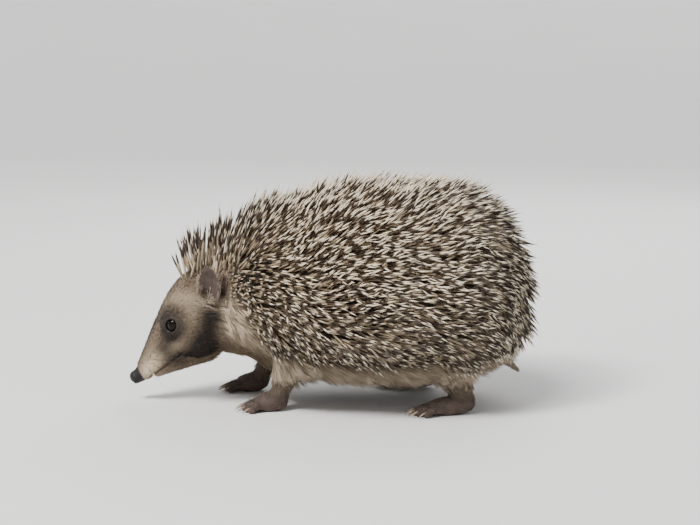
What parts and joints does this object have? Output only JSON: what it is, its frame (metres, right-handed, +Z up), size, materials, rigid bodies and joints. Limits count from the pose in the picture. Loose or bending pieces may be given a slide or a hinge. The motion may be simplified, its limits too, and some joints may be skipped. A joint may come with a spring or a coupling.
{
  "type": "hedgehog",
  "caption": "Adult European hedgehog standing with its snout lowered: spiny back, raised brow crest, soft furred flanks, small ears and clawed feet.",
  "frame": {"origin": "on the floor, at the middle of the animal's box", "axes": "faces -Y with its left side at +X, and +Z is up"},
  "size_m": [0.136, 0.2299, 0.1305],
  "materials": {
    "spines": "smooth keratin, cream with a dark brown band below the tip",
    "body_fur": "long coarse matt fur",
    "face_fur": "short dense matt fur",
    "nose_skin": "wet, finely pebbled",
    "ear_skin": "thin matt skin with sparse short hair",
    "eye": "wet and glossy, nearly black",
    "foot_skin": "creased skin with horn claws",
    "claw": "smooth horn, slightly glossy"
  },
  "bodies": {
    "root": {"spine_coat": "spines", "trunk": "body_fur", "neck": "body_fur", "head": "face_fur", "lower_jaw": "face_fur", "nose": "nose_skin", "ear_left": "ear_skin", "ear_right": "ear_skin", "eye_left": "eye", "eye_right": "eye", "tail": "body_fur", "foreleg_left": "body_fur", "foreleg_right": "body_fur", "hindleg_left": "body_fur", "hindleg_right": "body_fur", "forefoot_left": "foot_skin", "forefoot_right": "foot_skin", "hindfoot_left": "foot_skin", "hindfoot_right": "foot_skin"}
  },
  "joints": []
}
